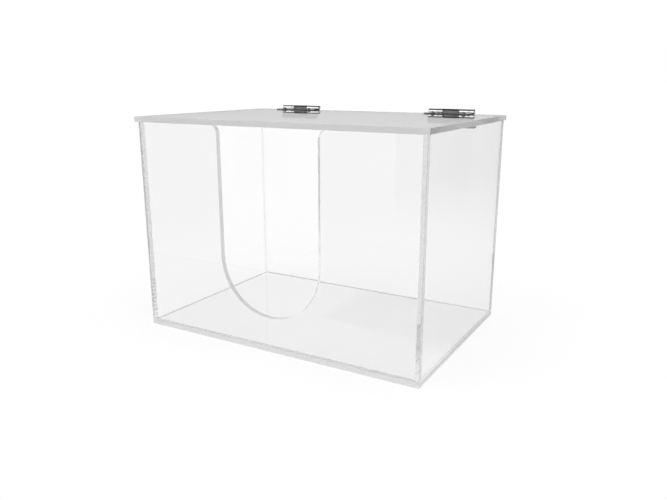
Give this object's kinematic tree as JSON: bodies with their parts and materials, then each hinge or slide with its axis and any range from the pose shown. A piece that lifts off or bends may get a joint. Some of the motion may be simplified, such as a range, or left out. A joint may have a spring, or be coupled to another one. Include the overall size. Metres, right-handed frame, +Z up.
{
  "type": "dispenser box",
  "caption": "Clear acrylic dispenser box with a U-shaped hand opening in the front and an overhanging lid that swings back on metal hinges.",
  "frame": {"origin": "centre of the underside of the bottom panel, on the surface that the box stands on", "axes": "+Z up, +X to the right as seen from the front, +Y from the front panel with the hand opening towards the back panel with the hinges"},
  "size_m": [0.3048, 0.2095, 0.2177],
  "materials": {
    "clear_acrylic": "polished",
    "hinge_chrome": "polished",
    "screw_chrome": "polished"
  },
  "bodies": {
    "box": {"bottom_panel": "clear_acrylic", "front_panel": "clear_acrylic", "back_panel": "clear_acrylic", "left_panel": "clear_acrylic", "right_panel": "clear_acrylic", "left_box_leaf": "hinge_chrome", "right_box_leaf": "hinge_chrome", "left_box_screw_outer": "screw_chrome", "left_box_screw_inner": "screw_chrome", "right_box_screw_outer": "screw_chrome", "right_box_screw_inner": "screw_chrome"},
    "lid": {"lid_panel": "clear_acrylic", "left_lid_leaf": "hinge_chrome", "right_lid_leaf": "hinge_chrome", "left_hinge_pin": "hinge_chrome", "right_hinge_pin": "hinge_chrome", "left_lid_screw_outer": "screw_chrome", "left_lid_screw_inner": "screw_chrome", "right_lid_screw_outer": "screw_chrome", "right_lid_screw_inner": "screw_chrome"}
  },
  "joints": [
    {"name": "lid_hinge", "type": "hinge", "parent": "box", "child": "lid", "pos_m": [0, 0.10335, 0.21535], "axis": [-1, 0, 0], "range_deg": [0, 265]}
  ]
}
